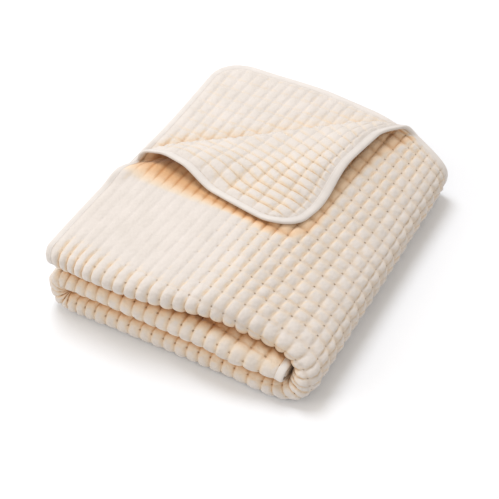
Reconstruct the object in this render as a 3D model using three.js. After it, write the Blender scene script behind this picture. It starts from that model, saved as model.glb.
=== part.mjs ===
// A heated throw of quilted plush, folded into a bundle with its top corner turned back.
// Two pieces: the quilted cloth panel and the binding sewn round its edge.
// Millimetres. The bundle rests on z = 0, +X runs along its width to the rounded side,
// -Y is the front with the three folds, +Z is up.
import * as THREE from "three";

// Folded bundle
const BUNDLE_WIDTH = 394;
const BUNDLE_DEPTH = 470;
const LAYER_PITCH = 9.75;
const LAYERS_IN_STRAND = 4;
const STRAND = LAYERS_IN_STRAND * LAYER_PITCH;
const BUNDLE_HEIGHT = 3 * STRAND;

// Cloth
const GROOVE_HALF = 3.5;
const FLAT_HALF = 4.2;
const CREST_HALF = 4.6;
const CORNER_RADIUS = 42;
const SEAM_GAP = 0.3;
const BINDING_WIDTH = 8.6;
const EDGE = SEAM_GAP + BINDING_WIDTH;

// Quilting, counted in channels across and rows deep
const TOP_COLUMNS = 20;
const WRAP_COLUMNS = 8;
const LOWER_COLUMNS = 17;
const SMALL_WRAP_COLUMNS = 6;
const MIDDLE_COLUMNS = 16;
const ROWS = 20;
const FOLD_STEPS = 6;

// Strands across the width: top, round the right side, bottom, round the left side, middle
const BIG_RADIUS = 4 * LAYER_PITCH;
const SMALL_RADIUS = 2 * LAYER_PITCH;
const WRAP_X = BUNDLE_WIDTH - 6 * LAYER_PITCH;
const SMALL_WRAP_X = 4 * LAYER_PITCH + 1;
const TOP_LENGTH = WRAP_X - EDGE;
const BIG_WRAP_LENGTH = Math.PI * BIG_RADIUS;
const LOWER_LENGTH = WRAP_X - SMALL_WRAP_X;
const SMALL_WRAP_LENGTH = Math.PI * SMALL_RADIUS;
const MIDDLE_LENGTH = LOWER_LENGTH - EDGE - 2;

// Layers of a strand from the back edge: first, outer front fold, fourth, back fold, third,
// inner front fold, second
const OUTER_FOLD_RADIUS = 1.5 * LAYER_PITCH;
const INNER_FOLD_RADIUS = 0.5 * LAYER_PITCH;
const FIRST_LENGTH = BUNDLE_DEPTH - OUTER_FOLD_RADIUS - CREST_HALF - EDGE;
const BACK_FOLD_Y = INNER_FOLD_RADIUS + CREST_HALF + 3;
const INNER_FOLD_Y = FIRST_LENGTH - 0.3;
const SECOND_START_Y = 1.5;
const ROW_DEPTH = FIRST_LENGTH / ROWS;

// Turned-back corner: the crease crosses the left edge and climbs to the back edge
const CREASE_AT_LEFT = 273;
const CREASE_ANGLE = THREE.MathUtils.degToRad(40);
const FLAP_SHEAR = 0.13;
const ROLL_RADIUS = 6.6;
const ROLL_STEPS = 6;
const FLAP_REST_LIFT = 2 * CREST_HALF + 0.5;

// Unevenness of the soft bundle
const SHOULDER_DROP = 39;
const SHOULDER_START = 239;
const SHOULDER_RUN = 144;
const LEAN = 0.075;
const FRONT_SKEW = 0.045;
const LEFT_SPREAD = 15;
const BACK_SKEW = 13;
const FOOT_SPREAD = 6;
const WAVE_HEIGHT = 1.6;

const clamp01 = (x) => Math.min(1, Math.max(0, x));
const smooth = (x) => clamp01(x) ** 2 * (3 - 2 * clamp01(x));

// Lengths of the path across the width
const acrossParts = [
  { name: "top", length: TOP_LENGTH, columns: TOP_COLUMNS, bends: [4, 9, 13, 15, 17, 19, 20] },
  { name: "bigWrap", length: BIG_WRAP_LENGTH, columns: WRAP_COLUMNS },
  { name: "lower", length: LOWER_LENGTH, columns: LOWER_COLUMNS, bends: [2, 4, 7, 12, 17] },
  { name: "smallWrap", length: SMALL_WRAP_LENGTH, columns: SMALL_WRAP_COLUMNS },
  { name: "middle", length: MIDDLE_LENGTH, columns: MIDDLE_COLUMNS, bends: [5, 10, 12, 14, 16] },
];
let reach = 0;
for (const part of acrossParts) {
  part.start = reach;
  reach += part.length;
}
const CLOTH_WIDTH = reach;

// Lengths of the path through the layers
const FOURTH_LENGTH = FIRST_LENGTH - BACK_FOLD_Y;
const THIRD_LENGTH = INNER_FOLD_Y - BACK_FOLD_Y;
const SECOND_LENGTH = INNER_FOLD_Y - SECOND_START_Y;
const OUTER_FOLD_LENGTH = Math.PI * OUTER_FOLD_RADIUS;
const INNER_FOLD_LENGTH = Math.PI * INNER_FOLD_RADIUS;
const FOLD_1 = FIRST_LENGTH;
const LAYER_4 = FOLD_1 + OUTER_FOLD_LENGTH;
const FOLD_2 = LAYER_4 + FOURTH_LENGTH;
const LAYER_3 = FOLD_2 + INNER_FOLD_LENGTH;
const FOLD_3 = LAYER_3 + THIRD_LENGTH;
const LAYER_2 = FOLD_3 + INNER_FOLD_LENGTH;
const CLOTH_DEPTH = LAYER_2 + SECOND_LENGTH;

// Position in a strand of a point v along the cloth's depth and w off its middle face:
// y from the back edge, t outward from the strand's middle
function throughLayers(v, w) {
  if (v <= FOLD_1) return { y: v, t: 1.5 * LAYER_PITCH + w };
  if (v <= LAYER_4) {
    const turn = (v - FOLD_1) / OUTER_FOLD_RADIUS;
    const radius = OUTER_FOLD_RADIUS + w;
    return { y: FOLD_1 + radius * Math.sin(turn), t: radius * Math.cos(turn) };
  }
  if (v <= FOLD_2) return { y: FOLD_1 - (v - LAYER_4), t: -1.5 * LAYER_PITCH - w };
  if (v <= LAYER_3) {
    const turn = (v - FOLD_2) / INNER_FOLD_RADIUS;
    const radius = INNER_FOLD_RADIUS + w;
    return { y: BACK_FOLD_Y - radius * Math.sin(turn), t: -LAYER_PITCH - radius * Math.cos(turn) };
  }
  if (v <= FOLD_3) return { y: BACK_FOLD_Y + (v - LAYER_3), t: -0.5 * LAYER_PITCH + w };
  if (v <= LAYER_2) {
    const turn = (v - FOLD_3) / INNER_FOLD_RADIUS;
    const radius = INNER_FOLD_RADIUS - w;
    return { y: INNER_FOLD_Y + radius * Math.sin(turn), t: -radius * Math.cos(turn) };
  }
  return { y: INNER_FOLD_Y - (v - LAYER_2), t: 0.5 * LAYER_PITCH - w };
}

// Position across the bundle of a point u along the cloth's width, t off its strand
function acrossStrands(u, t) {
  const [, bigWrap, lower, smallWrap, middle] = acrossParts;
  if (u <= bigWrap.start) return { x: EDGE + u, z: 2.5 * STRAND + t };
  if (u <= lower.start) {
    const turn = (u - bigWrap.start) / BIG_RADIUS;
    const radius = BIG_RADIUS + t;
    return { x: WRAP_X + radius * Math.sin(turn), z: 1.5 * STRAND + radius * Math.cos(turn) };
  }
  if (u <= smallWrap.start) return { x: WRAP_X - (u - lower.start), z: 0.5 * STRAND - t };
  if (u <= middle.start) {
    const turn = (u - smallWrap.start) / SMALL_RADIUS;
    const radius = SMALL_RADIUS + t;
    return { x: SMALL_WRAP_X - radius * Math.sin(turn), z: STRAND - radius * Math.cos(turn) };
  }
  return { x: SMALL_WRAP_X + (u - middle.start), z: 1.5 * STRAND + t };
}

// Distance past the crease line of a point on the top layer, positive towards the corner
const creaseNormal = { u: -Math.sin(CREASE_ANGLE), v: -Math.cos(CREASE_ANGLE) };
function pastCrease(u, v) {
  return (u + EDGE) * creaseNormal.u + (v + EDGE - CREASE_AT_LEFT) * creaseNormal.v;
}

// The corner rolls over the crease and lies back on the top layer, underside up
const ROLL_LENGTH = Math.PI * ROLL_RADIUS;
const ROLL_FACET = ROLL_LENGTH / ROLL_STEPS;
function onTopLayer(u, v, w) {
  const past = pastCrease(u, v);
  const flat = throughLayers(v, w);
  if (past <= 0 || v > FOLD_1 || u > TOP_LENGTH) return { u, y: flat.y, t: flat.t };
  const middle = 1.5 * LAYER_PITCH;
  if (past < ROLL_LENGTH) {
    const step = Math.floor(past / ROLL_FACET);
    const f = past / ROLL_FACET - step;
    const [here, next] = [step, step + 1].map((k) => (Math.PI * k) / ROLL_STEPS);
    const radius = ROLL_RADIUS - w;
    const along = radius * THREE.MathUtils.lerp(Math.sin(here), Math.sin(next), f);
    const lift = ROLL_RADIUS - radius * THREE.MathUtils.lerp(Math.cos(here), Math.cos(next), f);
    const shift = along - past;
    return { u: u + shift * creaseNormal.u, y: v + shift * creaseNormal.v, t: middle + lift };
  }
  const back = past - ROLL_LENGTH;
  const shift = -back - past;
  const lift = 2 * ROLL_RADIUS - (2 * ROLL_RADIUS - FLAP_REST_LIFT) * smooth(back / 140) - w;
  const slide = FLAP_SHEAR * back;
  return {
    u: u + shift * creaseNormal.u - slide * creaseNormal.v,
    y: v + shift * creaseNormal.v + slide * creaseNormal.u,
    t: middle + lift,
  };
}

// Soft unevenness: the right shoulder sinks, the channels lean, the front runs askew,
// and each fold at the front stands out a little differently
const FOOT = 0.5 * LAYER_PITCH - FLAT_HALF;
function settle(x, y, z) {
  const height = clamp01((z - FOOT) / (BUNDLE_HEIGHT - FOOT));
  const fromFront = (BUNDLE_DEPTH - y) / BUNDLE_DEPTH;
  const front = smooth((y - 0.45 * BUNDLE_DEPTH) / (0.5 * BUNDLE_DEPTH));
  const across = x / BUNDLE_WIDTH;
  const drop = SHOULDER_DROP * smooth((x - SHOULDER_START) / SHOULDER_RUN);
  const wave = WAVE_HEIGHT * (Math.sin(5.1 * across + 3.3 * fromFront) - Math.sin(6.3 * fromFront - 1.2));
  const lean = LEAN * (0.5 * BUNDLE_DEPTH - y) * smooth(across / 0.25) * smooth((1 - across) / 0.25);
  const fold = z / STRAND;
  const bulge = 3.2 * Math.sin(2.1 * fold + 4 * across) + 1.8 * Math.cos(3.4 * fold - 7 * across);
  const leftEnd = smooth(1 - x / 90) * (3.5 * Math.sin(2.4 * fold + 5 * fromFront) - 2);
  const spread = LEFT_SPREAD * (1 - across) * (1 - fromFront) + 0.4 * BACK_SKEW * across * fromFront;
  const skew = FRONT_SKEW * (0.5 * BUNDLE_WIDTH - x) + FOOT_SPREAD * (1 - height) + 0.6 * bulge;
  return {
    x: x + lean - leftEnd - spread,
    y: y + front * skew + BACK_SKEW * across * fromFront,
    z: z - height * (drop + wave),
  };
}

// Full map from the flat cloth to the folded bundle
function place(u, v, w) {
  const layer = onTopLayer(u, v, w);
  const strand = acrossStrands(layer.u, layer.t);
  const settled = settle(strand.x, layer.y + EDGE, strand.z);
  return [settled.x - 0.5 * BUNDLE_WIDTH, 0.5 * BUNDLE_DEPTH - settled.y, settled.z - FOOT];
}

// Column lines across the cloth, all of them or only those that bends need
function columnLines(finePart) {
  const lines = [0];
  for (const part of acrossParts) {
    const all = Array.from({ length: part.columns }, (_, k) => k + 1);
    const kept = finePart(part.name) || !part.bends ? all : part.bends;
    for (const k of kept) lines.push(part.start + (part.length * k) / part.columns);
  }
  return lines;
}
const everyColumn = columnLines(() => true);
const bendColumns = columnLines(() => false);
const outerColumns = columnLines((name) => name !== "lower" && name !== "middle");
const topColumns = columnLines((name) => name === "top");

// Cloth outline: a rectangle with rounded corners
function sideInset(v) {
  const fromEnd = Math.min(v, CLOTH_DEPTH - v);
  if (fromEnd >= CORNER_RADIUS) return 0;
  return CORNER_RADIUS - Math.sqrt(CORNER_RADIUS ** 2 - (CORNER_RADIUS - fromEnd) ** 2);
}
function lineAt(v, columns) {
  const inset = sideInset(v);
  const inner = columns.filter((u) => u > inset + 3 && u < CLOTH_WIDTH - inset - 3);
  return [inset, ...inner, CLOTH_WIDTH - inset];
}

// Row lines through the layers
const spread = (start, length, count) =>
  Array.from({ length: count }, (_, k) => start + (length * k) / count);
const rowLines = [
  ...spread(0, FIRST_LENGTH, ROWS),
  ...spread(FOLD_1, OUTER_FOLD_LENGTH, FOLD_STEPS),
  ...spread(LAYER_4, FOURTH_LENGTH, 5),
  ...spread(FOLD_2, INNER_FOLD_LENGTH, 3),
  ...spread(LAYER_3, THIRD_LENGTH, 5),
  ...spread(FOLD_3, INNER_FOLD_LENGTH, 3),
  ...spread(LAYER_2, SECOND_LENGTH, ROWS),
  CLOTH_DEPTH,
];
const cornerTurns = [15, 30, 45, 60, 75].map(THREE.MathUtils.degToRad);
const cornerRises = cornerTurns.map((turn) => CORNER_RADIUS * (1 - Math.cos(turn)));
const cornerLines = [...cornerRises, ...cornerRises.map((rise) => CLOTH_DEPTH - rise)]
  .filter((v) => rowLines.every((row) => Math.abs(row - v) > 2.5));
const sideStations = [...rowLines, ...cornerLines].sort((a, b) => a - b);

// Points of one face, each made once
function makeCloth() {
  const points = [];
  const triangles = [];
  const seen = new Map();
  function point(side, u, v, w) {
    const key = [side, u.toFixed(3), v.toFixed(3)].join();
    if (!seen.has(key)) {
      seen.set(key, points.length);
      points.push([u, v, side * w]);
    }
    return seen.get(key);
  }
  function triangle(side, a, b, c) {
    triangles.push(side > 0 ? [a, b, c] : [a, c, b]);
  }
  return { points, triangles, point, triangle };
}

// Which lines carry the raised quilting on the outer face (+1) and the inner face (-1)
const isFirst = (v) => v < FOLD_1 - 1;
const isOuterFold = (v) => v > FOLD_1 - 1 && v < LAYER_4 + 1;
const isSecond = (v) => v > LAYER_2 - 1;
function columnsFor(side, v) {
  if (side > 0 && isOuterFold(v)) return everyColumn;
  if (v < 1 || v > CLOTH_DEPTH - 1) return outerColumns;
  if (side > 0 && isFirst(v)) return outerColumns;
  if (side < 0 && isFirst(v) && v < CREASE_AT_LEFT + 10) return topColumns;
  if (side < 0 && isSecond(v) && v > CLOTH_DEPTH - CREASE_AT_LEFT - 10) return topColumns;
  return bendColumns;
}
function keepsLine(side, v, k) {
  if (side > 0 && isSecond(v)) return (k - rowLines.findIndex(isSecond)) % 4 === 0 || v > CLOTH_DEPTH - 1;
  if (side < 0 && isFirst(v) && v > CREASE_AT_LEFT + 20) return k % 4 === 0;
  if (side < 0 && isSecond(v) && v < CLOTH_DEPTH - CREASE_AT_LEFT - 20) {
    return (k - rowLines.findIndex(isSecond)) % 4 === 0;
  }
  return true;
}

// Raised cells between two row lines: one high point in each cell of the quilting
function cellShows(side, u, v) {
  const onSmallWrap = u > acrossParts[3].start && u < acrossParts[4].start;
  if (side > 0 && isFirst(v)) return (u < acrossParts[2].start && pastCrease(u, v) < -8) || onSmallWrap;
  if (side < 0 && isFirst(v)) return pastCrease(u, v) > ROLL_LENGTH + 4 && u < TOP_LENGTH;
  if (side < 0 && isSecond(v)) return pastCrease(u, CLOTH_DEPTH - v) > -12 && u < TOP_LENGTH;
  return false;
}
function isGroove(side, u, v) {
  if (side > 0 && isOuterFold(v)) return true;
  const reachU = 12;
  return [[-1, -1], [1, -1], [-1, 1], [1, 1]].some(([a, b]) => {
    const nearU = u + a * reachU;
    const nearV = v + b * reachU;
    return nearV > 0 && nearV < CLOTH_DEPTH && nearU > 0 && cellShows(side, nearU, nearV);
  });
}

const cloth = makeCloth();
const onEdge = (u, v) => v < 0.01 || v > CLOTH_DEPTH - 0.01 || Math.abs(u - sideInset(v)) < 0.01
  || Math.abs(u - CLOTH_WIDTH + sideInset(v)) < 0.01;
function facePoint(side, u, v) {
  const half = onEdge(u, v) || isGroove(side, u, v) ? GROOVE_HALF : FLAT_HALF;
  return cloth.point(side, u, v, half);
}

// Fill the strip between two row lines with triangles, from the left side to the right
function fillStrip(side, vLow, vHigh) {
  const low = lineAt(vLow, columnsFor(side, vLow));
  const high = lineAt(vHigh, columnsFor(side, vHigh));
  const between = sideStations.filter((v) => v > vLow + 0.01 && v < vHigh - 0.01);
  const lowId = low.map((u) => facePoint(side, u, vLow));
  const highId = high.map((u) => facePoint(side, u, vHigh));
  let i = 0;
  let j = 0;
  const lastLow = low.length - 1;
  const lastHigh = high.length - 1;
  if (between.length) {
    const left = between.map((v) => facePoint(side, sideInset(v), v));
    const chain = [lowId[0], ...left, highId[0]];
    for (let k = 0; k + 1 < chain.length; k++) cloth.triangle(side, chain[k], lowId[1], chain[k + 1]);
    i = 1;
  }
  const stopLow = between.length ? lastLow - 1 : lastLow;
  while (i < stopLow || j < lastHigh) {
    const squareCell = i < stopLow && j < lastHigh && Math.abs(low[i] - high[j]) < 0.01
      && Math.abs(low[i + 1] - high[j + 1]) < 0.01;
    const uMid = squareCell ? 0.5 * (low[i] + low[i + 1]) : 0;
    if (squareCell && cellShows(side, uMid, 0.5 * (vLow + vHigh))) {
      const crest = cloth.point(side, uMid, 0.5 * (vLow + vHigh), CREST_HALF);
      const ring = [lowId[i], lowId[i + 1], highId[j + 1], highId[j]];
      for (let k = 0; k < 4; k++) cloth.triangle(side, ring[k], ring[(k + 1) % 4], crest);
      i++;
      j++;
      continue;
    }
    const nextLow = i < stopLow ? low[i + 1] : Infinity;
    const nextHigh = j < lastHigh ? high[j + 1] : Infinity;
    if (nextLow <= nextHigh) {
      cloth.triangle(side, lowId[i], lowId[i + 1], highId[j]);
      i++;
    } else {
      cloth.triangle(side, lowId[i], highId[j + 1], highId[j]);
      j++;
    }
  }
  if (between.length) {
    const right = between.map((v) => facePoint(side, CLOTH_WIDTH - sideInset(v), v));
    const chain = [lowId[lastLow], ...right, highId[lastHigh]];
    for (let k = 0; k + 1 < chain.length; k++) cloth.triangle(side, lowId[lastLow - 1], chain[k], chain[k + 1]);
  }
}

// On the outer front folds a cell spans several steps of the bend, high along its middle
function fillFoldCells() {
  const stepsPerRow = FOLD_STEPS / 2;
  const foldLines = rowLines.filter((v) => v >= FOLD_1 - 0.01 && v <= LAYER_4 + 0.01);
  const line = (v) => lineAt(v, everyColumn);
  for (let row = 0; row < 2; row++) {
    const steps = foldLines.slice(row * stepsPerRow, (row + 1) * stepsPerRow + 1);
    const columns = line(steps[0]);
    const middle = 0.5 * (steps[0] + steps[stepsPerRow]);
    for (let i = 0; i + 1 < columns.length; i++) {
      const [u0, u1] = [columns[i], columns[i + 1]];
      const crest = cloth.point(1, 0.5 * (u0 + u1), middle, CREST_HALF);
      const rightSide = steps.map((v) => facePoint(1, u1, v));
      const leftSide = steps.map((v) => facePoint(1, u0, v)).reverse();
      const ring = [...rightSide, ...leftSide];
      for (let k = 0; k < ring.length; k++) cloth.triangle(1, ring[k], ring[(k + 1) % ring.length], crest);
    }
  }
}

for (const side of [1, -1]) {
  const kept = rowLines.filter((v, k) => keepsLine(side, v, k));
  for (let k = 0; k + 1 < kept.length; k++) {
    const inOuterFold = kept[k] > FOLD_1 - 0.01 && kept[k + 1] < LAYER_4 + 0.01;
    if (side < 0 || !inOuterFold) fillStrip(side, kept[k], kept[k + 1]);
  }
}
fillFoldCells();

// Outline stations in order round the cloth, with the direction that points off its edge
function outlineStations() {
  const stations = [];
  const backLine = lineAt(0, columnsFor(1, 0));
  const frontLine = lineAt(CLOTH_DEPTH, columnsFor(1, CLOTH_DEPTH));
  const offEdge = (u, v) => {
    const cu = THREE.MathUtils.clamp(u, CORNER_RADIUS, CLOTH_WIDTH - CORNER_RADIUS);
    const cv = THREE.MathUtils.clamp(v, CORNER_RADIUS, CLOTH_DEPTH - CORNER_RADIUS);
    const length = Math.hypot(u - cu, v - cv);
    return { u, v, nu: (u - cu) / length, nv: (v - cv) / length };
  };
  const sides = sideStations.filter((v) => v > 0.01 && v < CLOTH_DEPTH - 0.01);
  for (const u of backLine) stations.push(offEdge(u, 0));
  for (const v of sides) stations.push(offEdge(CLOTH_WIDTH - sideInset(v), v));
  for (const u of [...frontLine].reverse()) stations.push(offEdge(u, CLOTH_DEPTH));
  for (const v of [...sides].reverse()) stations.push(offEdge(sideInset(v), v));
  return stations;
}
const outline = outlineStations();

// The cloth's edge joins its two faces
for (let k = 0; k < outline.length; k++) {
  const here = outline[k];
  const next = outline[(k + 1) % outline.length];
  const [a, b] = [facePoint(1, here.u, here.v), facePoint(1, next.u, next.v)];
  const [c, d] = [facePoint(-1, here.u, here.v), facePoint(-1, next.u, next.v)];
  cloth.triangles.push([a, c, b], [b, c, d]);
}

// Binding section: off the edge, and off the cloth's middle face
const bindingSection = [
  { off: SEAM_GAP, w: -GROOVE_HALF },
  { off: SEAM_GAP, w: GROOVE_HALF },
  { off: 4.2, w: 4.0 },
  { off: 8.0, w: 2.6 },
  { off: EDGE, w: 0 },
  { off: 8.0, w: -2.6 },
  { off: 4.2, w: -4.0 },
];
function makeBinding() {
  const points = [];
  const triangles = [];
  const count = bindingSection.length;
  for (const { u, v, nu, nv } of outline) {
    for (const { off, w } of bindingSection) points.push([u + off * nu, v + off * nv, w]);
  }
  for (let k = 0; k < outline.length; k++) {
    const here = k * count;
    const next = ((k + 1) % outline.length) * count;
    for (let s = 0; s < count; s++) {
      const s2 = (s + 1) % count;
      triangles.push([here + s, here + s2, next + s2], [here + s, next + s2, next + s]);
    }
  }
  return { points, triangles };
}

// Split the triangles of the turned-back corner along lines that follow the crease
function splitAtCrease(mesh) {
  for (let step = 0; step <= ROLL_STEPS; step++) {
    const level = (ROLL_LENGTH * step) / ROLL_STEPS;
    const offset = mesh.points.map(([u, v]) => pastCrease(u, v) - level);
    const made = new Map();
    const cut = (a, b) => {
      const key = a < b ? `${a},${b}` : `${b},${a}`;
      if (!made.has(key)) {
        const f = offset[a] / (offset[a] - offset[b]);
        made.set(key, mesh.points.length);
        mesh.points.push(mesh.points[a].map((value, i) => value + f * (mesh.points[b][i] - value)));
      }
      return made.get(key);
    };
    const slant = (a, b) =>
      (mesh.points[a][0] - mesh.points[b][0]) * (mesh.points[a][2] - mesh.points[b][2]);
    const out = [];
    for (const tri of mesh.triangles) {
      const onTop = tri.every((id) => mesh.points[id][1] < FOLD_1 - 1 && mesh.points[id][0] < TOP_LENGTH + 1);
      const sign = tri.map((id) => (Math.abs(offset[id]) < 0.02 ? 0 : Math.sign(offset[id])));
      if (!onTop || !sign.includes(1) || !sign.includes(-1)) {
        out.push(tri);
        continue;
      }
      const zero = sign.indexOf(0);
      if (zero >= 0) {
        const [a, b, c] = [tri[zero], tri[(zero + 1) % 3], tri[(zero + 2) % 3]];
        const m = cut(b, c);
        out.push([a, b, m], [a, m, c]);
        continue;
      }
      const lone = sign.findIndex((s) => sign.filter((other) => other === s).length === 1);
      const [a, b, c] = [tri[lone], tri[(lone + 1) % 3], tri[(lone + 2) % 3]];
      const [m, n] = [cut(a, b), cut(a, c)];
      out.push([a, m, n]);
      if (slant(m, c) <= slant(n, b)) out.push([m, b, c], [m, c, n]);
      else out.push([m, b, n], [b, c, n]);
    }
    mesh.triangles = out;
  }
  return mesh;
}

// Fold a flat mesh into the bundle
function fold(mesh) {
  const { points, triangles } = splitAtCrease(mesh);
  const geometry = new THREE.BufferGeometry();
  geometry.setAttribute("position", new THREE.Float32BufferAttribute(points.flatMap((p) => place(...p)), 3));
  geometry.setIndex(triangles.flatMap(([a, b, c]) => [a, c, b]));
  return geometry;
}

const panelGeometry = fold({ points: cloth.points, triangles: cloth.triangles });
const bindingGeometry = fold(makeBinding());

// Set the whole part with the middle of its footprint at the origin and its lowest point at z = 0
const bounds = new THREE.Box3();
for (const geometry of [panelGeometry, bindingGeometry]) {
  geometry.computeBoundingBox();
  bounds.union(geometry.boundingBox);
}
const centre = bounds.getCenter(new THREE.Vector3());
for (const geometry of [panelGeometry, bindingGeometry]) {
  geometry.translate(-centre.x, -centre.y, -bounds.min.z);
  geometry.computeVertexNormals();
}

const plush = new THREE.MeshStandardMaterial({ color: 0xf0e6d6, roughness: 0.95, metalness: 0 });
const trim = new THREE.MeshStandardMaterial({ color: 0xf4ecdf, roughness: 0.85, metalness: 0 });
const panel = new THREE.Mesh(panelGeometry, plush);
panel.name = "cloth_panel";
const binding = new THREE.Mesh(bindingGeometry, trim);
binding.name = "edge_binding";
const throwBundle = new THREE.Group();
throwBundle.name = "heated_throw";
throwBundle.add(panel, binding);
export default throwBundle;
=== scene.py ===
# A heated throw of quilted cream plush, folded into a bundle with its top corner turned back.
import math

import bpy
import numpy as np
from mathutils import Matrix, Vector
from mathutils.bvhtree import BVHTree


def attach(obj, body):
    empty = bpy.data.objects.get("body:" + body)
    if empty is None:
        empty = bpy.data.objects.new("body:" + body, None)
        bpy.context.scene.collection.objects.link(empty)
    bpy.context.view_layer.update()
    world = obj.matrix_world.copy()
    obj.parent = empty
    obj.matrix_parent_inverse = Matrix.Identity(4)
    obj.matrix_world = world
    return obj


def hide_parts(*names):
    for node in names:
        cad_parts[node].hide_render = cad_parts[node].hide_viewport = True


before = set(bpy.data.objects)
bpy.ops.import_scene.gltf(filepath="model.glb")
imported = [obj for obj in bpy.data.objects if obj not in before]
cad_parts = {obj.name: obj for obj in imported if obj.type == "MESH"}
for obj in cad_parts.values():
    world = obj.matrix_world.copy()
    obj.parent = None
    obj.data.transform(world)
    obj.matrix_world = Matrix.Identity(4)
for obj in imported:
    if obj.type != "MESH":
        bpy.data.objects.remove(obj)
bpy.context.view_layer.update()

MM = 0.001

# Folded bundle, in millimetres as the solids are
BUNDLE_WIDTH = 394
BUNDLE_DEPTH = 470
LAYER_PITCH = 9.75
STRAND = 4 * LAYER_PITCH
BUNDLE_HEIGHT = 3 * STRAND

# Cloth: its half thicknesses, its rounded corners, and the binding off its edge
FLAT_HALF = 4.2
CREST_HALF = 4.6
EDGE_HALF = 1.9
EDGE_EASE = 9
CORNER_RADIUS = 42
SEAM_GAP = 0.3
BINDING_WIDTH = 8.6
EDGE = SEAM_GAP + BINDING_WIDTH
FOOT = 0.5 * LAYER_PITCH - FLAT_HALF

# How far the uneven bundle's centre lies off the even one's
CENTRE_X = -8.3
CENTRE_Y = -6.85

# Differences too small to count, of shares and directions, and of places in millimetres
TINY = 1e-6
SAME_PLACE = 0.01

# Strands across the width, in order: top, big wrap, lower, small wrap and middle
BIG_RADIUS = 4 * LAYER_PITCH
SMALL_RADIUS = 2 * LAYER_PITCH
WRAP_X = BUNDLE_WIDTH - 6 * LAYER_PITCH
SMALL_WRAP_X = 4 * LAYER_PITCH + 1
TOP_LENGTH = WRAP_X - EDGE
LOWER_LENGTH = WRAP_X - SMALL_WRAP_X
END_REACH = 17
END_PUSH = 6
MIDDLE_LENGTH = LOWER_LENGTH - EDGE + END_REACH + END_PUSH
BIG_WRAP = TOP_LENGTH
LOWER = BIG_WRAP + math.pi * BIG_RADIUS
SMALL_WRAP = LOWER + LOWER_LENGTH
MIDDLE = SMALL_WRAP + math.pi * SMALL_RADIUS
CLOTH_WIDTH = MIDDLE + MIDDLE_LENGTH

# The big wrap is squarer than a half circle, most of all in its inner layers
WRAP_POWER = 3.0
WRAP_POWER_CHANGE = 0.7

# Layers of a strand, from the free edge at the back
OUTER_FOLD_RADIUS = 1.5 * LAYER_PITCH
INNER_FOLD_RADIUS = 0.5 * LAYER_PITCH
FOLD_1 = BUNDLE_DEPTH - OUTER_FOLD_RADIUS - CREST_HALF - EDGE
BACK_FOLD_Y = INNER_FOLD_RADIUS + CREST_HALF + 3
INNER_FOLD_Y = FOLD_1 - 0.3
SECOND_START_Y = 1.5
LAYER_4 = FOLD_1 + math.pi * OUTER_FOLD_RADIUS
FOLD_2 = LAYER_4 + FOLD_1 - BACK_FOLD_Y
LAYER_3 = FOLD_2 + math.pi * INNER_FOLD_RADIUS
FOLD_3 = LAYER_3 + INNER_FOLD_Y - BACK_FOLD_Y
LAYER_2 = FOLD_3 + math.pi * INNER_FOLD_RADIUS
CLOTH_DEPTH = LAYER_2 + INNER_FOLD_Y - SECOND_START_Y

# Turned-back corner: it rolls over the crease and comes to rest on the top layer
CREASE_AT_LEFT = 273
CREASE_ANGLE = math.radians(40)
CREASE_U = -math.sin(CREASE_ANGLE)
CREASE_V = -math.cos(CREASE_ANGLE)
FLAP_SHEAR = 0.13
ROLL_RADIUS = 6.6
ROLL_LENGTH = math.pi * ROLL_RADIUS
FLAP_REST_LIFT = 2 * CREST_HALF + 0.5
FLAP_REST_RUN = 140
RAISED_START = 4

# The flap's left margin arches up from the layer it lies on
ARCH_LIFT = 13.5
ARCH_DRAW = 7
ARCH_RISE = 50
ARCH_TOP = 70
ARCH_FALL = 45
ARCH_WIDTH = 120

# The flap's right margin curls up and away from the crease's far end
CURL_LIFT = 12
CURL_LEFT = 17
CURL_FORWARD = 10
CURL_RISE = 45
CURL_TOP = 85
CURL_FALL = 80
CURL_WIDTH = 110

# The top layer humps up in front of the crease's left end, and the crease is tucked in there
HUMP_LIFT = 9
HUMP_BEFORE = 24
HUMP_REACH = 26
HUMP_WIDTH = 70
TUCK_IN = 6
TUCK_PAST = 10
TUCK_REACH = 40
TUCK_WIDTH = 45

# The layers sink below the flap's raised left margin, less and less towards the floor
DENT_DEPTH = 11
DENT_PAST = 8
DENT_REACH = 40
DENT_LEFT = -4
DENT_RISE = 24
DENT_FULL = 60
DENT_END = 170
DENT_POWER = 1.5

# The top strand's front fold lies further back towards the big wrap, as the middle strand's end does
STEP_BACK = 34
STEP_START = 90
STEP_RUN = 260
STEP_REACH = 110
STEP_FADE = 150
MIDDLE_STEP = 9
MIDDLE_STEP_RUN = 60

# Where the front and the back begin, as shares of the depth
FRONT_START = 0.45
FRONT_RUN = 0.5
BACK_START = 0.55
BACK_RUN = 0.4

# Unevenness of the whole bundle
SHOULDER_DROP = 39
SHOULDER_START = 239
SHOULDER_RUN = 144
SHOULDER_LESS_AT_BACK = 0.13
LEAN = 0.075
LEAN_FADE = 0.25
FRONT_SKEW = 0.045
BACK_SKEW = 13
BACK_SKEW_ACROSS = 0.4
LEFT_SPREAD = 15
BACK_LEFT_SPREAD = 9
FOOT_SPREAD = 6
RIDGE_OUT = 2.5
RIDGE_HALF = 4.5
BACK_BOW = 15
BOW_START = 0.05
BOW_RUN = 0.4
BOW_LESS_AT_RIGHT = 0.6
BOW_RIGHT = 0.7

# The left end bulges strand by strand, and most of all at the front of the middle strand
LEFT_END_REACH = 90
LEFT_END_IN = 2
LEFT_TIP = 9
LEFT_TIP_HALF = 0.5

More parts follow.
